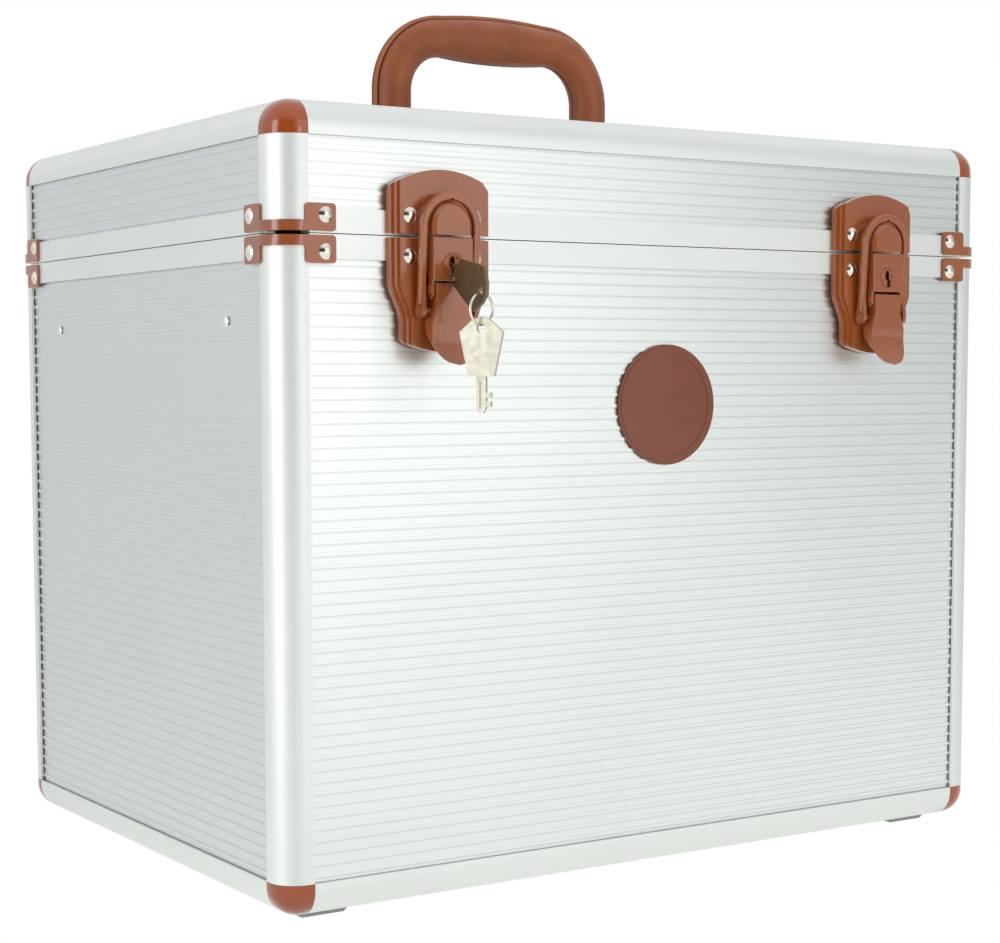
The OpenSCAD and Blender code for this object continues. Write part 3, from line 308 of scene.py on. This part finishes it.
# Drawing lines of the metal: fine across, long along
ALONG_WALL, ALONG_TOP = (14, 14, 1100), (14, 1100, 14)
ALONG_POST, ALONG_EDGE = (900, 900, 10), (12, 12, 900)
BASE_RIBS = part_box("base_front_panel")[0].z
LID_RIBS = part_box("lid_front_panel")[0].z
MATS = {
    "wall": aluminium("ribbed_sheet_front", SHEET, ALONG_WALL, ribs_from=BASE_RIBS),
    "lid_wall": aluminium("ribbed_sheet_lid_front", SHEET, ALONG_WALL, ribs_from=LID_RIBS),
    "flank": aluminium("ribbed_sheet_side", SIDE_SHEET_PAINTED_SHADE, ALONG_WALL, 0.4),
    "sheet": aluminium("ribbed_sheet_flat", SHEET, ALONG_TOP),
    "post": aluminium("edge_extrusion_upright", EDGE, ALONG_POST, 0.5, 0.8),
    "edge": aluminium("edge_extrusion_level", EDGE, ALONG_EDGE, 0.42, 0.8),
    "rail": aluminium("rail_aluminium", RAIL, ALONG_EDGE, 0.45, 0.9),
    "brown": painted("brown_paint", BROWN),
    "badge": painted("badge_paint", srgb(134, 70, 44), rough=0.4, coat=0.2),
    "end_plate": painted("handle_end_plate", srgb(128, 76, 50), rough=0.42, coat=0.1),
    "plug": painted_plug("brown_paint_brass_plug", BROWN, BRASS),
    "cap": plastic("glossy_brown_caps", srgb(176, 80, 26), 0.18, 1.0, 500, 0.015),
    "tray": plastic("tray_plastic", srgb(70, 72, 76), 0.5, 0.0, 700, 0.25),
    "rubber": plastic("foot_rubber", srgb(184, 188, 184), 0.6, 0.0, 600, 0.2),
    "nickel": plated("bright_nickel", srgb(236, 232, 218), 0.13),
    "pin": plated("pin_steel", srgb(190, 188, 182), 0.3),
    "key": plated("key_nickel", srgb(203, 200, 182), 0.4, 0.6, 0.015, 0.012),
    # The inserted key's metal is a darker, browner copy of the key nickel: painted shade and
    # painted brown reflection from the latch
    "key_painted_shade": plated("key_painted_shade", srgb(126, 110, 82), 0.36, 0.7, 0.06, 0.012),
    "lining": felt("felt_lining", srgb(62, 64, 68)),
    "leather": leather("handle_leather", srgb(168, 93, 52), srgb(142, 73, 37)),
    "leather_edge": leather("handle_leather_edge", srgb(194, 110, 62), srgb(168, 90, 48), 0.36),
    "leather_seam": leather("handle_leather_seam", srgb(84, 40, 24), srgb(66, 30, 18), 0.6),
}

# Material of each node; other panels are plain sheet and all the rest is painted brown
LOOK = {
    "base_front_panel": "wall", "base_back_panel": "wall",
    "lid_front_panel": "lid_wall", "lid_back_panel": "lid_wall",
    "base_left_panel": "flank", "base_right_panel": "flank",
    "lid_left_panel": "flank", "lid_right_panel": "flank",
    "base_posts": "post", "lid_posts": "post",
    "base_edges": "edge", "lid_edges": "edge", "base_rim": "edge", "lid_rim": "edge",
    "base_corner_caps": "cap", "lid_corner_caps": "cap",
    "base_rivets": "nickel", "lid_rivets": "nickel", "tray_rail_rivets": "edge",
    "foot_screws": "nickel", "handle_screws": "nickel", "hinge_pins": "pin",
    "lock_plug_left": "plug", "lock_plug_right": "plug",
    "key": "key_painted_shade", "key_ring": "nickel", "spare_key": "key",
    "badge_plate": "badge", "handle_end_plates": "end_plate", "feet": "rubber",
    "base_lining": "lining", "lid_lining": "lining",
    "tray": "tray", "tray_dividers": "tray",
    "tray_rail_left": "rail", "tray_rail_right": "rail",
}
for node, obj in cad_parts.items():
    default = "sheet" if node.endswith("panel") else "brown"
    obj.data.materials.clear()
    obj.data.materials.append(MATS[LOOK.get(node, default)])

# Broken edges on pieces that stand proud, with their width in mm
BEVELS = {
    "lock_housing_left": 0.5, "lock_housing_right": 0.5,
    "latch_lever_left": 0.2, "latch_lever_right": 0.2,
    "latch_bail_left": 0.6, "latch_bail_right": 0.6,
    "lock_plug_left": 0.2, "lock_plug_right": 0.2,
    "base_corner_braces": 0.4, "lid_corner_braces": 0.4, "badge_plate": 0.25,
    "feet": 0.6, "tray_dividers": 0.6, "tray": 0.4, "handle_end_plates": 0.6,
}
# Short edges in the outlines of these would hold the bevel back, so they are joined first
PRESSED = ("lock_housing", "latch_lever")
JOIN, JOIN_PRESSED = 0.002 * MM, 0.1 * MM
SHARP = math.radians(35)


def smooth_group():
    group = bpy.data.node_groups.new("smooth_faces", "GeometryNodeTree")
    for way in ("INPUT", "OUTPUT"):
        group.interface.new_socket("Geometry", in_out=way, socket_type="NodeSocketGeometry")
    start, end = group.nodes.new("NodeGroupInput"), group.nodes.new("NodeGroupOutput")
    smooth = group.nodes.new("GeometryNodeSetShadeSmooth")
    group.links.new(start.outputs[0], smooth.inputs["Geometry"])
    group.links.new(smooth.outputs["Geometry"], end.inputs[0])
    return group


def break_edges():
    smooth = smooth_group()
    for node, width in BEVELS.items():
        pressed = node.startswith(PRESSED)
        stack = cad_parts[node].modifiers
        stack.new("join_faces", "WELD").merge_threshold = JOIN_PRESSED if pressed else JOIN
        stack.new("smooth_faces", "NODES").node_group = smooth
        bevel = stack.new("soft_edges", "BEVEL")
        bevel.width = width * MM
        bevel.segments = 3
        bevel.use_clamp_overlap = not pressed
        bevel.limit_method = "ANGLE"
        bevel.angle_limit = SHARP
        bevel.face_strength_mode = "FSTR_ALL"
        flat = stack.new("flat_faces", "WEIGHTED_NORMAL")
        flat.keep_sharp = True
        flat.use_face_influence = True


break_edges()

# Handle: a leather cover swept along grip, bends and legs, with a welt on its outer edge
grip_low, grip_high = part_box("handle_grip")
welt_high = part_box("handle_welt")[1]
TUBE_MM = 9.4
TUBE_R = TUBE_MM * MM
BEND_R = 28 * MM
SPAN = (grip_high.x - grip_low.x) - 2 * TUBE_R
GRIP_R = (grip_high.y - grip_low.y) / 2
GRIP_Z = grip_high.z - GRIP_R
FOOT_Z = grip_low.z
HANDLE_Y = (grip_low.y + grip_high.y) / 2
WELT_OUT = (welt_high.z - grip_high.z) / MM
LEG_STEPS, BEND_STEPS, GRIP_STEPS, SIDE_STEPS = 14, 28, 44, 22
# Material slots of the cover
LEATHER, WELT, SEAM = 0, 1, 2
# From the outer edge round one side: arc length and radial step in mm, and the material
WELT_HALF = 1.55
SECTION = (
    (0.0, WELT_OUT - 0.55, SEAM),
    (0.35, WELT_OUT - 0.1, WELT),
    (0.95, WELT_OUT, WELT),
    (1.35, WELT_OUT - 0.45, WELT),
    (WELT_HALF, 0.3, WELT),
    (WELT_HALF + 0.12, -0.45, SEAM),
    (WELT_HALF + 0.45, -0.5, SEAM),
    (WELT_HALF + 1.0, -0.08, LEATHER),
    (WELT_HALF + 1.8, 0.0, LEATHER),
)
# The seam on the inner edge: angle before the middle and radial step in mm, and the material
INNER_START = 0.12
INNER_SEAM = ((0.05, -0.1, LEATHER), (0.025, -0.4, SEAM))
INNER_MIDDLE = -0.45


def handle_path():
    """Points on the centre line with the outward direction and the cover's radius there."""
    half = SPAN / 2
    straight = half - BEND_R
    leg_top = GRIP_Z - BEND_R
    bulge = GRIP_R - TUBE_R
    rows = []
    for i in range(LEG_STEPS):
        z = FOOT_Z + (leg_top - FOOT_Z) * i / LEG_STEPS
        rows.append((Vector((-half, 0, z)), Vector((-1, 0, 0)), TUBE_R))
    for i in range(BEND_STEPS):
        a = math.pi - math.pi / 2 * i / BEND_STEPS
        out = Vector((math.cos(a), 0, math.sin(a)))
        rows.append((Vector((-straight, 0, leg_top)) + out * BEND_R, out, TUBE_R))
    one_end = list(rows)
    for i in range(GRIP_STEPS + 1):
        x = -straight + 2 * straight * i / GRIP_STEPS
        radius = TUBE_R + bulge * (1 - (x / straight) ** 2)
        rows.append((Vector((x, 0, GRIP_Z)), Vector((0, 0, 1)), radius))
    for p, out, radius in reversed(one_end):
        rows.append((Vector((-p.x, 0, p.z)), Vector((-out.x, 0, out.z)), radius))
    return rows


def cover_section():
    """Angles from the outer edge, each with the radial step and the material there."""
    side = [(arc / TUBE_MM, step * MM, m) for arc, step, m in SECTION]
    start = side[-1][0]
    end = math.pi - INNER_START
    for i in range(1, SIDE_STEPS + 1):
        side.append((start + (end - start) * i / SIDE_STEPS, 0.0, LEATHER))
    side += [(math.pi - before, step * MM, m) for before, step, m in INNER_SEAM]
    other = [(2 * math.pi - a, d, m) for a, d, m in reversed(side[1:])]
    return side + [(math.pi, INNER_MIDDLE * MM, SEAM)] + other


def strip_material(a, b):
    """Material between two points of the section: seam before leather, leather before welt."""
    for slot in (SEAM, LEATHER):
        if slot in (a, b):
            return slot
    return WELT


def make_handle():
    bm = bmesh.new()
    section = cover_section()
    across = Vector((0, 1, 0))
    rings = []
    for point, out, radius in handle_path():
        centre = Vector((point.x, HANDLE_Y, point.z))
        ring = []
        for a, d, _ in section:
            way = out * math.cos(a) + across * math.sin(a)
            ring.append(bm.verts.new(centre + way * (radius + d)))
        rings.append(ring)
    count = len(section)
    for low, high in zip(rings, rings[1:]):
        for j in range(count):
            k = (j + 1) % count
            face = bm.faces.new((low[j], low[k], high[k], high[j]))
            face.material_index = strip_material(section[j][2], section[k][2])
            face.smooth = True
    bm.faces.new(rings[0])
    bm.faces.new(list(reversed(rings[-1])))
    bmesh.ops.recalc_face_normals(bm, faces=bm.faces)
    mesh = bpy.data.meshes.new("handle_cover")
    bm.to_mesh(mesh)
    bm.free()
    for name in ("leather", "leather_edge", "leather_seam"):
        mesh.materials.append(MATS[name])
    handle = bpy.data.objects.new("handle_cover", mesh)
    scene.collection.objects.link(handle)
    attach(handle, "lid")
    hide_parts("handle_grip", "handle_welt")


make_handle()

# Studio: pale floor, white surroundings and soft lights
FILL = 0.32
REFLECTED = 0.64
REFLECTED_ABOVE = 0.9
# Parts of the studio's wall as reflections show it: middle and half width in degrees from the
# front towards -X, and the gain there
PATCHES = ((33, 31, 0.08), (100, 25, 1.35), (150, 25, 1.2), (-66, 28, 0.7))
PATCH_BLUR = 4
# The floor as reflections show it gets darker from the front to the back, and to the right
FLOOR_HALF = 8.0
FLOOR_Z = -0.0002
FLOOR_REFLECTED = 1.0
FLOOR_BACK, FLOOR_RIGHT = 0.58, 0.72
FLOOR_BACK_SPAN, FLOOR_RIGHT_SPAN = (-0.35, 0.2), (-0.15, 0.6)
# Place, aim, size and power of each light, and whether reflections show it
FRONT_AIM = (0, -0.1, 0.2)
LIGHTS = {
    "front_light": ((0.62, -1.76, 0.5), FRONT_AIM, (1.12, 1.5), 3.45, True),
    "front_strip": ((0.22, -1.84, 0.18), FRONT_AIM, (0.2, 0.8), 1.27, True),
    "front_fill": ((0.3, -1.6, 0.9), FRONT_AIM, (1.0, 1.0), 6.2, False),
    "side_light": ((-1.69, -0.36, 0.5), (-0.1, -0.1, 0.2), (0.55, 1.2), 6.6, True),
    "top_light": ((0.1, 0.1, 1.6), (0, 0, 0.3), (1.0, 1.0), 5, False),
}


def make_floor():
    """A pale floor, plain white to the camera and graded in reflections."""
    mesh = bpy.data.meshes.new("floor")
    s = FLOOR_HALF
    mesh.from_pydata([(-s, -s, 0), (s, -s, 0), (s, s, 0), (-s, s, 0)], [], [(0, 1, 2, 3)])
    floor = bpy.data.objects.new("floor", mesh)
    floor.location.z = FLOOR_Z
    scene.collection.objects.link(floor)
    m = bpy.data.materials.new("pale_floor")
    tree = Tree(m)
    nodes, links = tree.nodes, tree.links
    bsdf = nodes["Principled BSDF"]
    bsdf.inputs["Base Color"].default_value = (0.9, 0.9, 0.9, 1)
    bsdf.inputs["Roughness"].default_value = 0.9
    glow = nodes.new("ShaderNodeEmission")
    glow.inputs["Color"].default_value = (1, 1, 1, 1)
    glow.inputs["Strength"].default_value = 1.0
    mix = nodes.new("ShaderNodeMixShader")
    path = nodes.new("ShaderNodeLightPath")
    seen = nodes.new("ShaderNodeMath")
    seen.operation = "MULTIPLY_ADD"
    seen.use_clamp = True
    place = tree.axes(nodes.new("ShaderNodeTexCoord").outputs["Object"])
    far = FLOOR_REFLECTED * FLOOR_BACK
    back = tree.range(place["Y"], *FLOOR_BACK_SPAN, FLOOR_REFLECTED, far)
    right = tree.range(place["X"], *FLOOR_RIGHT_SPAN, 1, FLOOR_RIGHT)
    links.new(tree.math("MULTIPLY", back, right), seen.inputs[1])
    links.new(path.outputs["Is Glossy Ray"], seen.inputs[0])
    links.new(path.outputs["Is Camera Ray"], seen.inputs[2])
    links.new(seen.outputs["Value"], mix.inputs["Fac"])
    links.new(bsdf.outputs["BSDF"], mix.inputs[1])
    links.new(glow.outputs["Emission"], mix.inputs[2])
    links.new(mix.outputs["Shader"], nodes["Material Output"].inputs["Surface"])
    mesh.materials.append(m)


def studio_level(tree):
    """What reflections show by direction: brighter above, and the patches round the object."""
    way = tree.axes(tree.nodes.new("ShaderNodeTexCoord").outputs["Generated"])
    level = tree.range(way["Z"], 0.2, 0.7, REFLECTED, REFLECTED_ABOVE)
    left, front = (tree.math("MULTIPLY", way[axis], -1) for axis in ("X", "Y"))
    turn = tree.math("ARCTAN2", left, front)
    low = tree.range(way["Z"], 0.45, 0.75, 1, 0)
    for middle, half, gain in PATCHES:
        off = tree.math("ABSOLUTE", tree.math("SUBTRACT", turn, math.radians(middle)))
        inner, outer = math.radians(half - PATCH_BLUR), math.radians(half + PATCH_BLUR)
        inside = tree.math("MULTIPLY", tree.range(off, inner, outer, 1, 0), low)
        level = tree.math("MULTIPLY", level, tree.range(inside, 0, 1, 1, gain))
    return level


def make_world():
    """White to the camera, a bright studio in reflections and a weaker one as fill light."""
    world = bpy.data.worlds.new("studio")
    scene.world = world
    tree = Tree(world)
    nodes, links = tree.nodes, tree.links
    path = nodes.new("ShaderNodeLightPath")
    fill = nodes["Background"]
    fill.inputs["Color"].default_value = (0.97, 1.0, 0.985, 1)
    fill.inputs["Strength"].default_value = FILL
    shown = fill.outputs["Background"]
    for ray, level, tint in (
        ("Is Glossy Ray", studio_level(tree), (0.96, 0.97, 1.02, 1)),
        ("Is Camera Ray", None, (1, 1, 1, 1)),
    ):
        back = nodes.new("ShaderNodeBackground")
        back.inputs["Color"].default_value = tint
        if level:
            links.new(level, back.inputs["Strength"])
        mix = nodes.new("ShaderNodeMixShader")
        links.new(path.outputs[ray], mix.inputs["Fac"])
        links.new(shown, mix.inputs[1])
        links.new(back.outputs["Background"], mix.inputs[2])
        shown = mix.outputs["Shader"]
    links.new(shown, nodes["World Output"].inputs["Surface"])


def make_light(name, place, aim, size, power, mirrored):
    data = bpy.data.lights.new(name, "AREA")
    data.shape = "RECTANGLE"
    data.size, data.size_y = size
    data.energy = power
    light = bpy.data.objects.new(name, data)
    light.location = place
    way = Vector(aim) - Vector(place)
    light.rotation_euler = way.to_track_quat("-Z", "Y").to_euler()
    light.visible_glossy = mirrored
    scene.collection.objects.link(light)


make_floor()
make_world()
for name, light in LIGHTS.items():
    make_light(name, *light)
